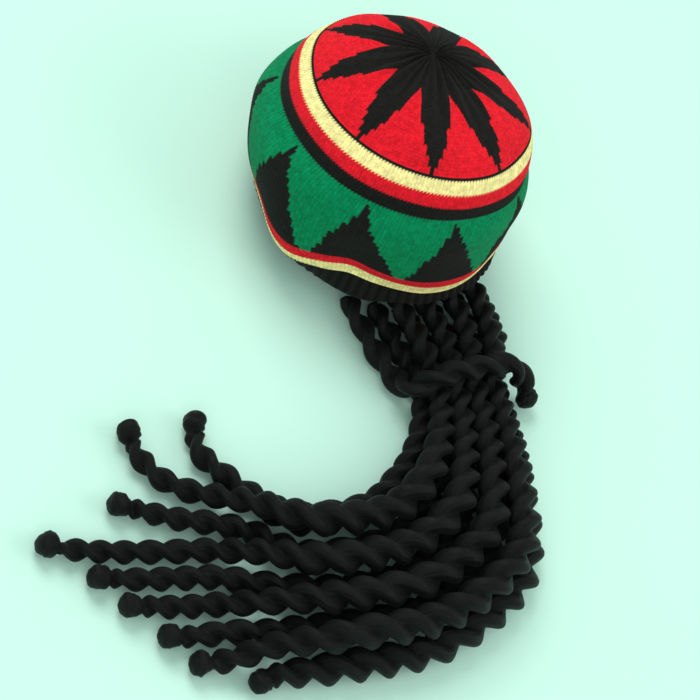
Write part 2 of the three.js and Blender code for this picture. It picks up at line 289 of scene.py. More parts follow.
@dataclass(frozen=True)
class TwistedLockYarn:
    """Black acrylic yarn laid side by side and twisted into a two-ply rope, slightly silky."""

    colour: str = "090a0a"
    strand_mm: float = 2.2
    strand_run_mm: float = 22.0
    fibre_mm: float = 0.35
    fibre_run_mm: float = 6.0
    roughness: float = 0.5
    specular: float = 0.13
    sheen: float = 0.02
    bump_mm: float = 1.1

    def material(self) -> bpy.types.Material:
        """Builds the finish: strands that run along each ply, fibres on them, a soft gloss."""
        material, tree = new_material("black_acrylic_yarn_two_ply_twisted")
        place = add_node(tree, "ShaderNodeUVMap", {"uv_map": "stitch"})
        # Strands: noise drawn out along the ply, which gives the eye single yarns side by side.
        drawn = add_node(tree, "ShaderNodeMapping",
                         {"Scale": (1000 / self.strand_run_mm, 1000 / self.strand_mm, 1.0)},
                         {"Vector": place.outputs["UV"]})
        strands = add_node(tree, "ShaderNodeTexNoise", {"Scale": 1.0, "Detail": 2.0, "Roughness": 0.5},
                           {"Vector": drawn.outputs["Vector"]})
        # Fibres: the same at a finer scale, which breaks the highlights into short silky streaks.
        fine = add_node(tree, "ShaderNodeMapping",
                        {"Scale": (1000 / self.fibre_run_mm, 1000 / self.fibre_mm, 1.0)},
                        {"Vector": place.outputs["UV"]})
        fibres = add_node(tree, "ShaderNodeTexNoise", {"Scale": 1.0, "Detail": 3.0, "Roughness": 0.6},
                          {"Vector": fine.outputs["Vector"]})
        height = add_node(tree, "ShaderNodeMath", {"operation": "MULTIPLY_ADD", 1: 0.3},
                          {0: fibres.outputs["Fac"], 2: strands.outputs["Fac"]})
        bump = add_node(tree, "ShaderNodeBump", {"Strength": 1.0, "Distance": self.bump_mm * 0.001},
                        {"Height": height.outputs["Value"]})
        tone = add_node(tree, "ShaderNodeMapRange",
                        {"From Min": 0.35, "From Max": 0.65, "To Min": 0.6, "To Max": 1.6},
                        {"Value": fibres.outputs["Fac"]})
        colour = add_node(tree, "ShaderNodeVectorMath",
                          {"operation": "SCALE", 0: linear_colour(self.colour)[:3]},
                          {"Scale": tone.outputs["Result"]})
        shader = add_node(tree, "ShaderNodeBsdfPrincipled",
                          {"Roughness": self.roughness, "Sheen Weight": self.sheen,
                           "Sheen Roughness": 0.4, "Specular IOR Level": self.specular},
                          {"Base Color": colour.outputs["Vector"], "Normal": bump.outputs["Normal"]})
        add_node(tree, "ShaderNodeOutputMaterial", None, {"Surface": shader.outputs["BSDF"]})
        return material


@dataclass(frozen=True)
class PaintedFloor:
    """A matte pale mint studio floor."""

    colour: str = "c8eee0"
    cloud_mm: float = 120.0

    def material(self) -> bpy.types.Material:
        """Builds the finish: even paint with the faintest cloudiness."""
        material, tree = new_material("matte_paint_rolled_pale_mint")
        place = add_node(tree, "ShaderNodeTexCoord")
        # Clouds a hand wide, which keep the paint from looking like a flat fill.
        clouds = add_node(tree, "ShaderNodeTexNoise", {"Scale": 1000 / self.cloud_mm, "Detail": 2.0},
                          {"Vector": place.outputs["Object"]})
        tone = add_node(tree, "ShaderNodeMapRange", {"To Min": 0.985, "To Max": 1.0},
                        {"Value": clouds.outputs["Fac"]})
        colour = add_node(tree, "ShaderNodeVectorMath",
                          {"operation": "SCALE", 0: linear_colour(self.colour)[:3]},
                          {"Scale": tone.outputs["Result"]})
        shader = add_node(tree, "ShaderNodeBsdfPrincipled", {"Roughness": 0.95, "Specular IOR Level": 0.1},
                          {"Base Color": colour.outputs["Vector"]})
        add_node(tree, "ShaderNodeOutputMaterial", None, {"Surface": shader.outputs["BSDF"]})
        return material


@dataclass
class PhotoCamera:
    """The camera at the photograph's angle: raised, square to the hat's near side, and rolled."""

    elevation_deg: float = 50.6
    roll_deg: float = 36.5
    distance_mm: float = 1700.0
    lens_mm: float = 121.0
    sensor_mm: float = 36.0
    clip_m: tuple[float, float] = (0.05, 50.0)
    target_mm: tuple[float, float, float] = (51.24, -107.55, 0.0)

    def build(self) -> None:
        """Makes the camera and sets it as the scene's own."""
        elevation, roll = math.radians(self.elevation_deg), math.radians(self.roll_deg)
        back = np.array((0.0, -math.cos(elevation), math.sin(elevation)))
        level = np.array((1.0, 0.0, 0.0))
        rise = np.array((0.0, math.sin(elevation), math.cos(elevation)))
        image_x = math.cos(roll) * level + math.sin(roll) * rise
        image_y = -math.sin(roll) * level + math.cos(roll) * rise
        data = bpy.data.cameras.new("photo_camera")
        data.lens, data.sensor_width = self.lens_mm, self.sensor_mm
        data.clip_start, data.clip_end = self.clip_m
        camera = bpy.data.objects.new("photo_camera", data)
        bpy.context.scene.collection.objects.link(camera)
        pose = np.eye(4)
        pose[:3, 0], pose[:3, 1], pose[:3, 2] = image_x, image_y, back
        pose[:3, 3] = to_row_frame(np.array(self.target_mm) + back * self.distance_mm)
        camera.matrix_world = Matrix(pose.tolist())
        bpy.context.scene.camera = camera
        LOG.info("%s: %.0f mm lens", camera.name, data.lens)


@dataclass
class Studio:
    """A pale floor and soft light from the upper left, the front and the right."""

    floor_m: float = 8.0
    floor_drop_m: float = 0.0002
    world: str = "e9fbf5"
    world_strength: float = 0.64
    aim_m: tuple[float, float, float] = (0.05, -0.1, 0.03)
    # Lamp: name, place in metres, side in metres, strength in watts
    lamps: tuple[tuple, ...] = (
        ("key", (-1.0, 0.5, 1.7), 1.1, 22.5),
        ("front_fill", (0.3, -1.8, 1.3), 1.6, 12.0),
        ("right_fill", (1.5, 0.2, 1.0), 1.2, 8.0))

    def light(self, name: str, place: tuple[float, float, float], size: float, power: float) -> None:
        """Adds one square soft light that looks at the middle of the object.

        Args:
            name: the light's name.
            place: where it stands, in metres.
            size: its side, in metres.
            power: its strength, in watts.
        """
        data = bpy.data.lights.new(name, "AREA")
        data.size, data.energy = size, power
        lamp = bpy.data.objects.new(name, data)
        bpy.context.scene.collection.objects.link(lamp)
        lamp.location = place
        lamp.rotation_mode = "QUATERNION"
        direction = Vector(self.aim_m) - Vector(place)
        lamp.rotation_quaternion = direction.to_track_quat("-Z", "Y")

    def build(self) -> None:
        """Makes the floor, the world's light and the lamps."""
        half = self.floor_m / 2
        mesh = bpy.data.meshes.new("floor")
        mesh.from_pydata([(-half, -half, 0), (half, -half, 0), (half, half, 0), (-half, half, 0)],
                         [], [(0, 1, 2, 3)])
        mesh.materials.append(PaintedFloor().material())
        floor = bpy.data.objects.new("floor", mesh)
        floor.location = (0, 0, -self.floor_drop_m)
        bpy.context.scene.collection.objects.link(floor)
        world = bpy.data.worlds.new("studio")
        world.use_nodes = True
        sky = world.node_tree.nodes["Background"]
        sky.inputs["Color"].default_value = linear_colour(self.world)
        sky.inputs["Strength"].default_value = self.world_strength
        bpy.context.scene.world = world
        for lamp in self.lamps:
            self.light(*lamp)
        bpy.context.scene.view_settings.view_transform = "Standard"


@dataclass(frozen=True)
class LockFacts:
    """One lock: its root, its places in the bundle, its tail's points, and its way over the bundle."""

    azimuth_deg: float
    under_mm: float
    outside_mm: float
    places_mm: tuple = ()
    tail_mm: tuple = ()
    over_mm: tuple = ()


@dataclass
class Locks:
    """Ten two-ply twisted locks: nine free ones in two nested layers, and the one that ties them.

    Every route is the source's own: three root points under the hem, a place across and above the
    surface at each station of the bundle, and the free points of the tail.
    """

    root_radii_mm: tuple[float, ...] = (80, 95, 106)
    root_spreads: tuple[float, ...] = (1.12, 1, 0.88)
    root_middle_deg: float = 63.5
    root_lock_radii_mm: tuple[float, ...] = (7.4, 8.6, 8.2)
    tail_radius_mm: float = 9.0
    tip_radius_mm: float = 7.4
    knot_radius_mm: float = 8.9
    tie_radius_mm: float = 8.6
    half_pitch_mm: float = 23.0
    tight_half_pitch_mm: float = 16.0
    ply_offset: float = 0.46
    bundle_bulk: float = 0.18
    tie_bulk: float = 0.1
    rough_samples: int = 200
    step_mm: float = 1.6
    sides: int = 36
    clearance_mm: float = 0.3
    # The pitch is tight up to the slim radius, and full where the rope is thicker by the gain
    slim_radius_mm: float = 7.5
    full_gain_mm: float = 5.0
    tie_fullness: float = 0.9
    # Pressed part of the bundle: its ends in points of the route, and how it eases in and out
    pressed_from: float = 1.8
    pressed_rise: float = 1.2
    pressed_to: float = 8.0
    pressed_fall: float = 2.0
    # The tip, by distance from its end: a neck that closes the plies, and the knot
    neck_mm: float = 9.0
    neck_run_mm: float = 12.0
    knot_middle_mm: float = 8.5
    knot_half_mm: float = 8.6
    knot_lump: float = 0.05
    root_round_mm: float = 3.0
    # The plies' offset is least at the tip, and grows over the run from the parting
    least_offset: float = 0.12
    parting_mm: float = 7.0
    parting_run_mm: float = 14.0
    strand_turn_share: float = 0.55
    strand_radius_mm: float = 9.0
    phase_step: float = 1.7
    # Station of the bundle: x, y, heading of the across axis in degrees, lock radius
    stations: tuple[tuple[float, ...], ...] = (
        (111, -61.5, 52, 8.3), (128, -81.6, 46, 7.5), (137, -90.4, 44, 7.5), (155, -115, 37, 8.4),
        (171, -144, 24, 10), (187, -190, 2, 12.7), (174, -248, -30, 12.7), (133, -300, -38, 12.3),
        (112, -309, -46, 10.9), (91, -321, -52, 9.4))
    # Lock: root azimuth, height under the hem, height just outside it, places, tail
    free: dict = field(default_factory=lambda: {
        "lock_01": LockFacts(44, 23, 23, (
            (-29, 23.2), (-23.1, 21.4), (-23.2, 21.4), (-26.2, 24), (-31.2, 28.7),
            (-40.8, 35.6), (-40.8, 35.6), (-44, 36.6), (-42, 33.4), (-48, 26.6)), (
            (38, -289, 14), (20, -296, 9), (2, -301, 9), (-15, -299, 9), (-30, -291, 8), (-42, -281, 8))),
        "lock_02": LockFacts(37.5, 9, 9, (
            (-38.6, 8.8), (-30.8, 7.8), (-31, 7.8), (-35.4, 8.8), (-42, 10.4),
            (-54, 13), (-54, 13), (-56, 12.8), (-55, 12), (-65, 10)), (
            (30, -268.5, 9), (13, -266, 9), (0, -256, 9), (-8, -241, 8))),
        "lock_03": LockFacts(50.5, 9, 9, (
            (-19.3, 8.8), (-15.4, 7.8), (-15.6, 7.8), (-17.5, 8.8), (-20.8, 10.4),
            (-27, 13), (-27, 13), (-27, 13), (-26, 12), (-34, 10)), (
            (48, -305, 9), (28, -318, 9), (8, -329, 9), (-18, -341, 8))),
        "lock_04": LockFacts(57, 23, 23, (
            (-9.6, 23.2), (-7.7, 21.4), (-7.7, 21.4), (-8.8, 23.9), (-10.4, 28.4),
            (-13.6, 35.6), (-13.6, 35.6), (-14, 36), (-11, 32), (-14, 22)), (
            (58, -323, 10), (38, -341, 9), (18, -359, 9), (-2, -376, 9), (-22, -390, 8), (-38, -398, 8))),
        "lock_05": LockFacts(64.5, 9, 9, (
            (0, 8.8), (0, 7.8), (0, 7.8), (0, 8.8), (0, 10.4),
            (0, 13), (0, 13), (0, 13), (4, 12), (4, 10)), (
            (70, -338, 9), (50, -356, 9), (31, -374, 9), (11, -389, 8), (2, -396, 8))),
        "lock_06": LockFacts(71.5, 23, 23, (
            (10, 23.2), (7.9, 21.4), (7.9, 21.4), (8.8, 23.9), (10.4, 28.4),
            (13.6, 35.6), (13.6, 35.6), (13.6, 35.4), (19, 30), (22, 21)), (
            (83, -353, 10), (64, -371, 9), (46, -386, 9), (29, -399, 8))),
        "lock_07": LockFacts(78.5, 9, 9, (
            (20, 8.8), (15.8, 7.8), (15.7, 7.8), (17.6, 8.8), (20.8, 10.4),
            (27, 13), (27, 13), (27, 13), (34, 12), (39, 10)), (
            (96, -367.6, 9), (79, -386, 9), (61, -400, 8))),
        "lock_08": LockFacts(85.5, 23, 23, (
            (30.6, 23.6), (23.8, 21.4), (23.7, 21.4), (26.4, 23.9), (31.2, 28.4),
            (40.8, 35.6), (40.8, 35.6), (40.8, 35.4), (49, 30), (54.4, 22)), (
            (110, -382, 13), (98, -394, 9), (88, -403, 8))),
        "lock_09": LockFacts(92.5, 9, 9, (
            (41, 8.8), (32, 7.8), (31.8, 7.8), (35.2, 8.8), (42, 10.4),
            (54, 13), (54, 13), (54, 13), (63, 12), (71, 10)), (
            (130, -390, 8),)),
    })
    tie: LockFacts = LockFacts(24.6, 9, 9, (), ((64, -100.4, 9.4), (79, -108.3, 9.4)), (
        (-48, -3, 11), (-47, 6, 18.5), (-39, 10, 30.5), (-24, 8, 38.4), (0, 4, 39.6), (25, 2, 39.2),
        (43, 5, 28.8), (51, 12, 14), (57, 22, 9.4)))

    def route(self, facts: LockFacts) -> Array:
        """The points that a lock follows, in millimetres.

        Args:
            facts: the lock's own numbers.

        Returns:
            One row for each point, from the root to the tip.
        """
        heights = (facts.under_mm, facts.under_mm, facts.outside_mm)
        turns = [math.radians(self.root_middle_deg + (facts.azimuth_deg - self.root_middle_deg) * spread)
                 for spread in self.root_spreads]
        root = [(r * math.sin(turn), -r * math.cos(turn), z)
                for r, turn, z in zip(self.root_radii_mm, turns, heights)]
        bundle = [(x + across * math.cos(math.radians(heading)),
                   y + across * math.sin(math.radians(heading)), up)
                  for (across, up), (x, y, heading, _) in zip(facts.places_mm, self.stations)]
        x, y, heading, _ = self.stations[1]
        cosine, sine = math.cos(math.radians(heading)), math.sin(math.radians(heading))
        over = [(x + across * cosine + along * sine, y + across * sine - along * cosine, up)
                for across, along, up in facts.over_mm]
        return np.array([*root, *bundle, *facts.tail_mm, *over], float)

    def radii(self, facts: LockFacts) -> Array:
        """The lock's radius at each point of its route: slim root, full bend, slim tip."""
        if not facts.places_mm:
            rest = len(facts.tail_mm) + len(facts.over_mm)
            return np.array([*self.root_lock_radii_mm, *[self.tie_radius_mm] * rest])
        taper = np.linspace(self.tip_radius_mm, self.tail_radius_mm, len(facts.tail_mm))[::-1]
        return np.array([*self.root_lock_radii_mm, *[s[3] for s in self.stations], *taper])

    def sizes(self, facts: LockFacts, place: Array, along: Array, phase: float) -> tuple[Array, Array]:
        """The rope's radius and half pitch along its centreline.

        The radius follows the route's own, swells by the bulk where the bundle is pressed, closes
        at the neck, and opens to a lumpy round knot. The root is rounded off.

        Args:
            facts: the lock's own numbers.
            place: each step's position counted in points of the route.
            along: each step's distance from the root in millimetres.
            phase: where the rope's twist starts, in radians.

        Returns:
            The radii and the half pitches in millimetres.
        """
        radii = self.radii(facts)
        size = np.interp(place, np.arange(len(radii)), radii)
        left = along[-1] - along
        body = size * smooth_step((left - self.neck_mm) / self.neck_run_mm)
        fullness = np.clip((size - self.slim_radius_mm) / self.full_gain_mm, 0, 1)
        pressed = smooth_step((place - self.pressed_from) / self.pressed_rise)
        if facts.places_mm:
            pressed = pressed * smooth_step((self.pressed_to - place) / self.pressed_fall)
            body = body * (1 + self.bundle_bulk * pressed)
        else:
            fullness = np.full_like(size, self.tie_fullness)
            body = body * (1 + self.tie_bulk * pressed)
        half_pitch = self.tight_half_pitch_mm + (self.half_pitch_mm - self.tight_half_pitch_mm) * fullness
        ball = 1 - ((left - self.knot_middle_mm) / self.knot_half_mm) ** 2
        knot = self.knot_radius_mm * np.sqrt(np.clip(ball, 0, 1))
        size = np.maximum(body, knot * (1 + self.knot_lump * np.sin(left * 1.1 + phase)))
        rounding = np.sqrt(np.clip(along / self.root_round_mm, 0.02, None))
        return np.minimum(size, self.root_lock_radii_mm[0] * rounding + 2 * along), half_pitch

    def rope(self, name: str, facts: LockFacts, phase: float) -> tuple[bpy.types.Object, Array]:
        """A twisted rope along a route.

        The section is the outline of two round plies side by side: its radius is
        c|cos| + sqrt(q^2 - c^2 sin^2) for ply radius q and offset c, and it turns half round in
        each half pitch, to the left as it goes. The plies close into one before the knot.

        Args:
            name: the lock's name.
            facts: the lock's own numbers.
            phase: where its twist starts, in radians.

        Returns:
            The object and its centreline in millimetres.
        """
        route = self.route(facts)
        rough, _ = centripetal_curve(route, self.rough_samples)
        length = float(np.linalg.norm(np.diff(rough, axis=0), axis=1).sum())
        rows = int(length / self.step_mm)
        line, place = centripetal_curve(route, rows)
        along = np.linspace(0, length, rows)
        size, half_pitch = self.sizes(facts, place, along, phase)
        line[:, 2] = np.maximum(line[:, 2], size + self.clearance_mm)
        side, rise = carried_frame(line)
        angle = np.linspace(0, 2 * np.pi, self.sides + 1)[None, :]
        # The twist runs ahead and behind by up to half a radian, as in a rope laid by hand
        wobble = 0.25 * np.sin(along / 41 + phase) + 0.2 * np.sin(along / 17 + 2 * phase)
        turned_so_far = np.pi * np.cumsum(np.gradient(along) / half_pitch)
        twist = -(turned_so_far + phase + wobble)[:, None]
        parted = smooth_step((length - along - self.parting_mm) / self.parting_run_mm)[:, None]
        c = np.minimum(self.ply_offset * parted + self.least_offset, self.ply_offset)
        q = 1 - c
        turned = angle - twist
        ratio = c * np.abs(np.cos(turned)) + np.sqrt(q ** 2 - (c * np.sin(turned)) ** 2)
        uneven = 1 + 0.025 * np.sin(along / 9 + 3 * phase)[:, None] * np.cos(turned)
        radius = np.minimum(size[:, None] * ratio * uneven, size[:, None] * 1.01)
        ring = (side[:, None, :] * (np.cos(angle) * radius)[:, :, None]
                + rise[:, None, :] * (np.sin(angle) * radius)[:, :, None])
        points = (line[:, None, :] + ring)[:, :-1]
        across = (turned + self.strand_turn_share * twist) * self.strand_radius_mm
        uv = np.stack([np.broadcast_to(along[:, None], across.shape), across], axis=2) * 0.001
        return grid_mesh(name, points, uv, line[0], line[-1]), line

    def build(self, material: bpy.types.Material) -> None:
        for index, (name, facts) in enumerate({**self.free, "tie_lock": self.tie}.items()):
            piece, line = self.rope(f"{name}_rope", facts, self.phase_step * index)
            piece.data.materials.append(material)
            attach(piece, "root")
            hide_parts(name)


@dataclass
class Tam:
    """The knitted hat: a hollow dome gathered to a point, with a ribbed hem.

    The sections and the hem are the source's own tables. A smooth curve runs through the sections.
    """

    hem_radius: float = 92.5
    tilt_deg: float = 7.5
    tilt_azimuth_deg: float = 45.0
    pivot_radius: float = 94.0
    wall: float = 3.0
    rib_height: float = 20.0
    rib_bulge: float = 1.5
    drape_height: float = 55.0
    far_dip_azimuth_deg: float = 10.0
    wales: int = 216
    wale_samples: int = 3
    course_samples: int = 3
    leaves: int = 9
    leaf_azimuth_deg: float = 30.0
    tip_shift_deg: float = 4.5
    tip_half_deg: float = 2.6
    # Green triangle: its half widths at the top in degrees, and how its two sides bow
    green_left_deg: float = 17.8
    green_right_deg: float = 18.2
    green_left_bow: float = 1.15
    green_right_bow: float = 0.9
    # Leaf: half width, the share of the crown where it is full, its bow, and where all leaves meet
    leaf_half_width: float = 10.0
    leaf_full_share: float = 0.42
    leaf_bow: float = 0.85
    leaf_meet_share: float = 0.66
    rib_top: float = 17.5
    ribs: int = 81
    rib_samples: int = 8
    rib_rows_outside: int = 26
    rib_rows_inside: int = 20
    rib_relief: float = 0.75
    rib_rounding: float = 0.7
    stitch_relief: float = 0.75
    purl_relief: float = 0.35
    purl_spacing: float = 1.35
    inside_rows: int = 120
    wales_from_radius: float = 84.0
    pole_fade_radius: float = 14.0
    curve_samples: int = 1200
    rising_samples: int = 1100
    # Section: height, radius, shift right, shift near, dip of the far side
    sections: tuple[tuple[float, ...], ...] = (
        (20, 95.5, -1, 0, 0), (36, 101, -4.5, 0, 0), (54, 104.5, -8, 0, 0), (72, 105.5, -8.5, 0, 2),
        (84, 102, -7.5, 0, 5), (94, 95.5, -5.5, -1, 8), (104, 93.5, -5, -1, 9),
        (113, 90, -5, -2, 8), (122, 83.5, -5, -3.5, 8), (135, 69, -5.5, -2, 5), (147, 47, -7.5, 0, 2),
        (155, 25, -9, 0, 0), (158.5, 12, -10, 0, 0), (157, 2, -10, 0, 0))
    # Hem: azimuth, edge out, edge height, rib out, rib lift
    hem: tuple[tuple[float, ...], ...] = (
        (-180, 0, 0, 0, 0), (-130, 0, 0, 0, -2), (-105, 2, 0, 3, -2), (-84, -4, 0, 0, -1),
        (-60, -11, 4, 0, -2), (-38, -14, 9, 0, -4), (-14, -9, 14, 6, -8), (2, -6, 18, 0, -1),
        (13, -3, 21, -3, 6), (25, 0, 25, -2, 5), (37, 2, 32.5, -1, 2), (50, 3, 32.6, 0, 0),
        (90, 5, 32.6, 1, 1), (104, 5, 20, 4, -2), (122, 3, 4, 2, -5), (140, 0, 0, 0, -6))
    # Colour band: yarn, height of its top, courses in it
    bands: tuple[tuple[Yarn, float, int], ...] = (
        (Yarn.YELLOW, 25.5, 3), (Yarn.RED, 33.5, 3), (Yarn.GREEN, 93.6, 23), (Yarn.BLACK, 104.0, 4),
        (Yarn.RED, 113.0, 3), (Yarn.YELLOW, 120.8, 3), (Yarn.BLACK, 122.6, 1))
    crown_courses: int = 37

    def __post_init__(self) -> None:
        """Works out the tilted frame and the smooth section curve."""
        tilt, turn = math.radians(self.tilt_deg), math.radians(self.tilt_azimuth_deg)
        lean = math.sin(tilt)
        self.axis = np.array((-math.sin(turn) * lean, math.cos(turn) * lean, math.cos(tilt)))
        near = np.array((0.0, -1.0, 0.0)) + self.axis * self.axis[1]
        self.near = near / np.linalg.norm(near)
        self.right = -np.cross(self.near, self.axis)
        self.centre = np.array((0.0, 0.0, self.pivot_radius * lean))
        self.curve, _ = centripetal_curve(np.array(self.sections, float), self.curve_samples)
        steps = np.linalg.norm(np.diff(self.curve[:, :2], axis=0), axis=1)
        self.arc = np.concatenate([[0], np.cumsum(steps)])

    def arc_at_height(self, height: float) -> float:
        """Distance up the section curve from the rib's top to a height short of the crown's middle."""
        rising = np.maximum.accumulate(self.curve[:, 0])[:self.rising_samples]
        return float(np.interp(height, rising, self.arc[:self.rising_samples]))

    def hem_value(self, column: int, degrees: Array) -> Array:
        """A smooth value round the hem between the rows of the hem table.

        Cubic Hermite with each row's slope taken from the rows on both sides of it, periodic.

        Args:
            column: the column of the hem table.
            degrees: azimuths in degrees.

        Returns:
            The values at those azimuths.
        """
        table = np.array(self.hem, float)
        at = np.concatenate([table[-1:, 0] - 360, table[:, 0], table[:2, 0] + 360])
        value = np.concatenate([table[-1:, column], table[:, column], table[:2, column]])
        turn = (np.asarray(degrees, float) + 180) % 360 - 180
        i = np.clip(np.searchsorted(at, turn, side="right") - 1, 1, len(at) - 3)
        span = at[i + 1] - at[i]
        t = (turn - at[i]) / span
        slope_a = (value[i + 1] - value[i - 1]) / (at[i + 1] - at[i - 1]) * span
        slope_b = (value[i + 2] - value[i]) / (at[i + 2] - at[i]) * span
        return ((2 * t ** 3 - 3 * t ** 2 + 1) * value[i] + (t ** 3 - 2 * t ** 2 + t) * slope_a
                + (-2 * t ** 3 + 3 * t ** 2) * value[i + 1] + (t ** 3 - t ** 2) * slope_b)

    def place(self, azimuth: Array, radius: Array, height: Array, right: Array, near: Array) -> Array:
        """Points of the tilted hat: centre + axis height + near (radius cos + near) + right (...)."""
        return (self.centre + self.axis * height[..., None]
                + self.near * (np.cos(azimuth) * radius + near)[..., None]
                + self.right * (np.sin(azimuth) * radius + right)[..., None])

    def wall_points(self, azimuth: Array, arc: Array, inset: float) -> Array:
        """The wall above the rib, set in along the section's own normal.

        Args:
            azimuth: azimuths in radians, one for each column.
            arc: distance up the section curve from the rib's top, one for each row.
            inset: how far inside the outer face the points lie.

        Returns:
            Rows x columns x 3 points in millimetres.
        """
        value = [np.interp(arc, self.arc, self.curve[:, k])[:, None] for k in range(5)]
        height, radius, right, near, dip = value
        slope = np.stack([np.gradient(self.curve[:, 1]), np.gradient(self.curve[:, 0])])
        slope /= np.linalg.norm(slope, axis=0)
        run_r = np.interp(arc, self.arc, slope[0])[:, None]
        run_h = np.interp(arc, self.arc, slope[1])[:, None]
        degrees = np.degrees(azimuth)[None, :]
        drape = 1 - smooth_step((height - self.rib_height) / self.drape_height)
        sag = dip * np.maximum(0, -np.cos(azimuth[None, :] - math.radians(self.far_dip_azimuth_deg))) ** 1.2
        full_radius = radius - inset * run_h + self.hem_value(3, degrees) * drape
        full_height = height + inset * run_r + self.hem_value(4, degrees) * drape - sag
        spread = np.broadcast_to(azimuth[None, :], full_radius.shape)
        return self.place(spread, full_radius, full_height, right, near)

    def rib_points(self, azimuth: Array, share: Array, inset: float) -> Array:
        """The ribbed hem: straight from the hem's edge to the wall, bulged by a half sine outside."""
        degrees = np.degrees(azimuth)
        bulge = 0.0 if inset > 0 else self.rib_bulge
        out = self.hem_value(1, degrees)[None, :] + bulge * np.sin(np.pi * share)[:, None] - inset
        spread = np.broadcast_to(azimuth[None, :], out.shape)
        zero = np.zeros_like(out)
        bottom = self.place(spread, self.hem_radius + out, zero, zero, zero)
        bottom[..., 2] = np.maximum(self.hem_value(2, degrees), 0)[None, :]
        top = self.wall_points(azimuth, np.zeros(1), inset)
        return bottom + (top - bottom) * share[:, None, None]

    def outer_points(self, azimuth: Array, height: Array) -> Array:
        """The outer face by distance up it: below the rib's height the rib, above it the wall."""
        low = height < self.rib_height
        rib = self.rib_points(azimuth, height[low] / self.rib_height, 0.0)
        wall = self.wall_points(azimuth, height[~low] - self.rib_height, 0.0)
        return np.concatenate([rib, wall])

    def courses(self) -> tuple[Array, list[Yarn]]:
        """Where each course of stitches starts, as distance up the face, and each one's yarn."""
        edges, yarns, low = [self.rib_top], [], self.rib_top
        for yarn, top, count in self.bands:
            high = self.rib_height + self.arc_at_height(top)
            edges.extend(np.linspace(low, high, count + 1)[1:])
            yarns.extend([yarn] * count)
            low = high
        end = self.rib_height + self.arc[-1]
        edges.extend(np.linspace(low, end, self.crown_courses + 1)[1:])
        yarns.extend([Yarn.BLACK] * self.crown_courses)
        return np.array(edges), yarns

    def stockinette(self, wale: Array, course: Array) -> Array:
        """The relief of knit stitches, from 0 to 1.

        In each wale the yarn makes a V: a ridge whose height over the course is |sin| of the
        course's own phase, set back towards the wale's middle, with grooves between wales.
        """
        fold = np.abs(2 * (wale % 1) - 1)
        phase = (course + 0.5 * fold) % 1
        ridge = np.abs(np.sin(np.pi * phase)) ** 0.8
        return ridge * (1 - 0.6 * fold ** 3 - 0.2 * (1 - fold) ** 4)

    def from_leaf(self, degrees: Array) -> Array:
        """How far azimuths are from the middle of the nearest leaf, in degrees."""
        sector = 360 / self.leaves
        return (degrees - self.leaf_azimuth_deg + sector / 2) % sector - sector / 2

    def yarn_map(self, azimuth_deg: Array, radius: Array, course: Array, yarns: list[Yarn]) -> Array:
        """The linear colour of every stitch.

        Green is a downward triangle under each leaf's tip, its sides slightly bowed. A leaf is a
        lance: as wide as the sector near the crown's middle, and narrowing as a cosine to its tip.

        Args:
            azimuth_deg: azimuths of the stitches in degrees, rows x columns.
            radius: the wall's own radius there, rows x 1.
            course: the number of each stitch's course, rows x columns.
            yarns: each course's yarn.

        Returns:
            Rows x columns x 4 linear colours.
        """
        palette = {yarn: np.array(linear_colour(yarn.value)) for yarn in Yarn}
        offset = self.from_leaf(azimuth_deg)
        index = np.clip(course.astype(int), 0, len(yarns) - 1)
        base = np.array([palette[yarn] for yarn in yarns])[index]
        starts = np.cumsum([0] + [count for _, _, count in self.bands])
        rise = np.clip((index - starts[2]) / (starts[3] - starts[2] - 1), 0, 1)
        inside = (index >= starts[2]) & (index < starts[3])
        shift = self.tip_shift_deg
        left = self.tip_half_deg - shift + (self.green_left_deg + shift) * rise ** self.green_left_bow
        right = self.tip_half_deg + shift + (self.green_right_deg - shift) * rise ** self.green_right_bow
        green = inside & (offset > -left) & (offset < right)
        base[inside & ~green] = palette[Yarn.BLACK]
        crown = index >= starts[-1]
        from_tip = (index - starts[-1]) / self.crown_courses
        from_middle = np.abs(np.radians(offset) * radius)
        narrowed = np.clip(1 - from_tip / self.leaf_full_share, 0, 1)
        half_width = self.leaf_half_width * np.cos(np.pi / 2 * narrowed) ** self.leaf_bow
        leaf = (from_middle < half_width) | (from_tip > self.leaf_meet_share)
        base[crown & ~leaf] = palette[Yarn.RED]
        return base

    def knit(self, name: str, first: int, last: int, edges: Array, yarns: list[Yarn],
             material: bpy.types.Material, pole: bool) -> None:
        """One piece of the outer face, with its stitches raised, its yarns coloured and painted shade in
        the grooves between stitches.

        Args:
            name: the piece's name.
            first: its first course.
            last: the course after its last.
            edges: where the courses start.
            yarns: each course's yarn.
            material: its finish.
            pole: whether it closes at the crown's middle.
        """
        rows = (last - first) * self.course_samples + 1
        columns = self.wales * self.wale_samples
        course = np.linspace(first, last, rows)
        height = np.interp(course, np.arange(len(edges)), edges)
        turn = np.arange(columns + 1) / self.wale_samples
        azimuth = np.radians(self.leaf_azimuth_deg) + 2 * np.pi * (turn[:-1] + 0.5) / self.wales - np.pi
        points = self.outer_points(azimuth, height)
        radius = np.interp(height - self.rib_height, self.arc, self.curve[:, 1])[:, None]
        degrees = np.degrees(azimuth)[None, :]
        sector = 360 / self.leaves
        offset = self.from_leaf(degrees)
        full = 360 / self.wales
        narrowing = np.clip(radius / self.wales_from_radius, 0, 1)
        wale = np.where(course[:, None] >= len(edges) - 1 - self.crown_courses,
                        offset / full * narrowing + 0.5, offset / full + 0.5)
        stitch_degrees = self.leaf_azimuth_deg + np.where(
            narrowing < 1, np.floor(wale) * full / np.maximum(narrowing, 0.02), np.floor(wale) * full)
        ridge = self.stockinette(wale, course[:, None])
        fade = smooth_step(radius / self.pole_fade_radius)
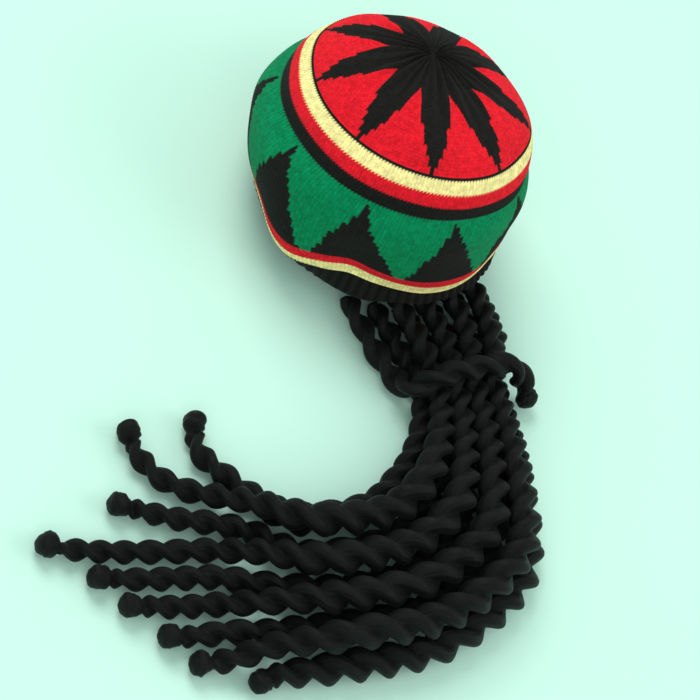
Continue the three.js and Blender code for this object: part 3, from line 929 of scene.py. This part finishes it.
        # Slow dents half a millimetre deep, which keep the loose knit from looking turned
        lumps = (0.5 * np.sin(np.radians(degrees) * 5 + height[:, None] / 13)
                 + 0.45 * np.sin(np.radians(degrees) * 8 - height[:, None] / 9 + 1.3))
        pleats = self.pleats(np.radians(degrees), radius)
        relief = (ridge - 0.6) * self.stitch_relief * fade + lumps * fade + pleats
        points = points + self.outward(points) * relief[..., None]
        uv_wale = np.broadcast_to(turn[None, :], (rows, columns + 1))
        uv = np.stack([uv_wale, np.broadcast_to(course[:, None], uv_wale.shape)], axis=2)
        piece = grid_mesh(name, points, uv, None, points[-1].mean(axis=0) if pole else None)
        stitch_course = np.floor(course[:, None] + 0.5 * np.abs(2 * (wale % 1) - 1) - 0.25) + 0 * wale
        stitch_course = np.clip(stitch_course, first, last - 1)
        colours = self.yarn_map(stitch_degrees, radius, stitch_course, yarns)
        seed = np.sin(stitch_course * 12.9898 + np.floor(wale) * 78.233 + np.floor(degrees / sector) * 37.7)
        # Each stitch is a little lighter or darker than the next at random, and painted shade darkens the
        # grooves between the stitches' ridges
        shade = 1 + 0.10 * np.sin(seed * 43758.5453)
        painted_groove_shade = 0.78 + 0.22 * smooth_step(ridge / 0.7)
        colours[..., :3] *= (shade * painted_groove_shade)[..., None]
        paint(piece, "yarn_colour_and_painted_shade", colours.reshape(-1, 4))
        self.dress(piece, material, "knit_body")

    def outward(self, points: Array) -> Array:
        """The unit normals of a grid of points: round the piece crossed with along it."""
        round_way = np.roll(points, -1, axis=1) - np.roll(points, 1, axis=1)
        normal = np.cross(round_way, np.gradient(points, axis=0))
        return normal / np.maximum(np.linalg.norm(normal, axis=2, keepdims=True), 1e-9)

    def pleats(self, azimuth: Array, radius: Array) -> Array:
        """Gathers that run to the crown's middle: uneven waves that grow as the radius shrinks."""
        wave = np.sin(27 * azimuth + 1.2 * np.sin(4 * azimuth)) + 0.5 * np.sin(18 * azimuth + 0.7)
        strength = smooth_step((72 - radius) / 40) * smooth_step(radius / 10)
        return 1.1 * wave * strength

    def dress(self, piece: bpy.types.Object, material: bpy.types.Material, node: str) -> None:
        """Gives a piece its finish and puts it in its node's place."""
        piece.data.materials.append(material)
        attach(piece, "root")
        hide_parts(node)
        LOG.info("%s: %d faces", piece.name, len(piece.data.polygons))

    def inside(self, material: bpy.types.Material) -> None:
        """The inner face of the wall: purl bumps in rows, seen through the head opening."""
        columns = self.wales * 2
        azimuth = 2 * np.pi * np.arange(columns) / columns - np.pi
        arc = np.linspace(0, self.arc[-1], self.inside_rows)[::-1]
        points = self.wall_points(azimuth, arc, self.wall)
        radius = np.interp(arc, self.arc, self.curve[:, 1])[:, None]
        rows = np.sin(np.pi * arc / self.purl_spacing)[:, None]
        relief = self.purl_relief * rows * smooth_step(radius / 20)
        points = points + self.outward(points) * relief[..., None]
        turn = np.arange(columns + 1) / 2
        uv = np.stack(np.broadcast_arrays(turn[None, :], arc[:, None]), axis=2)
        piece = grid_mesh("knit_inside", points, uv, points[0].mean(axis=0), None)
        black = np.array(linear_colour(Yarn.BLACK.value))
        paint(piece, "yarn_colour_and_painted_shade", np.tile(black, (points.shape[0] * columns, 1)))
        self.dress(piece, material, "knit_body")

    def rib(self, material: bpy.types.Material) -> None:
        """The ribbed hem: outer face down, round the edge and up the inner face, in one strip."""
        columns = self.ribs * self.rib_samples
        azimuth = 2 * np.pi * np.arange(columns) / columns - np.pi
        share_top = self.rib_top / self.rib_height
        in_rows, out_rows = self.rib_rows_inside, self.rib_rows_outside
        outer = self.rib_points(azimuth, np.linspace(0, share_top, out_rows), 0.0)
        inner = self.rib_points(azimuth, np.linspace(0, 1, in_rows), self.wall)
        points = np.concatenate([inner[::-1], outer])
        wave = np.cos(self.ribs * azimuth)
        middle = points.mean(axis=1, keepdims=True)
        out = points - middle
        out[..., 2] = 0
        out /= np.maximum(np.linalg.norm(out, axis=2, keepdims=True), 1e-9)
        # The ribs are half as high inside, and both faces are drawn together at the edge
        side = np.concatenate([np.full(in_rows, -0.5), np.full(out_rows, 1.0)])
        edge = np.concatenate([smooth_step(np.linspace(1, 0, in_rows) * 6),
                               smooth_step(np.linspace(0, 1, out_rows) * 8)])
        inward = np.concatenate([np.full(in_rows, 1.0), np.full(out_rows, -1.0)])
        rounding = self.rib_rounding * inward * (1 - edge)
        relief = (side * edge)[:, None] * self.rib_relief * wave[None, :] + rounding[:, None]
        points = points + out * relief[..., None]
        rows = len(points)
        uv = np.stack(np.broadcast_arrays(np.arange(columns + 1)[None, :] / 4,
                                          np.arange(rows)[:, None] / 2.0), axis=2)
        piece = grid_mesh("rib_band_knit", points, uv)
        black = np.array(linear_colour(Yarn.BLACK.value))
        # Painted shade: the black is darkened towards the valleys between the ribs, to half at the deepest,
        # on both faces
        shade = np.repeat((0.75 + 0.25 * wave)[None, :], rows, axis=0).ravel()
        colours = np.tile(black, (rows * columns, 1))
        colours[:, :3] *= shade[:, None]
        paint(piece, "yarn_colour_and_painted_shade", colours)
        self.dress(piece, material, "rib_band")

    def build(self) -> None:
        """Makes the knitted side, the crown, the inner face and the rib."""
        material = JacquardKnit().material()
        edges, yarns = self.courses()
        split = sum(count for _, _, count in self.bands)
        self.knit("knit_side", 0, split, edges, yarns, material, False)
        self.knit("knit_crown", split, len(yarns), edges, yarns, material, True)
        self.inside(material)
        self.rib(material)


def main() -> None:
    """Builds the camera, the locks, the hat and the studio, in that order."""
    logging.basicConfig(level=logging.INFO, format="%(message)s")
    PhotoCamera().build()
    Locks().build(TwistedLockYarn().material())
    Tam().build()
    Studio().build()


if __name__ == "__main__":
    main()
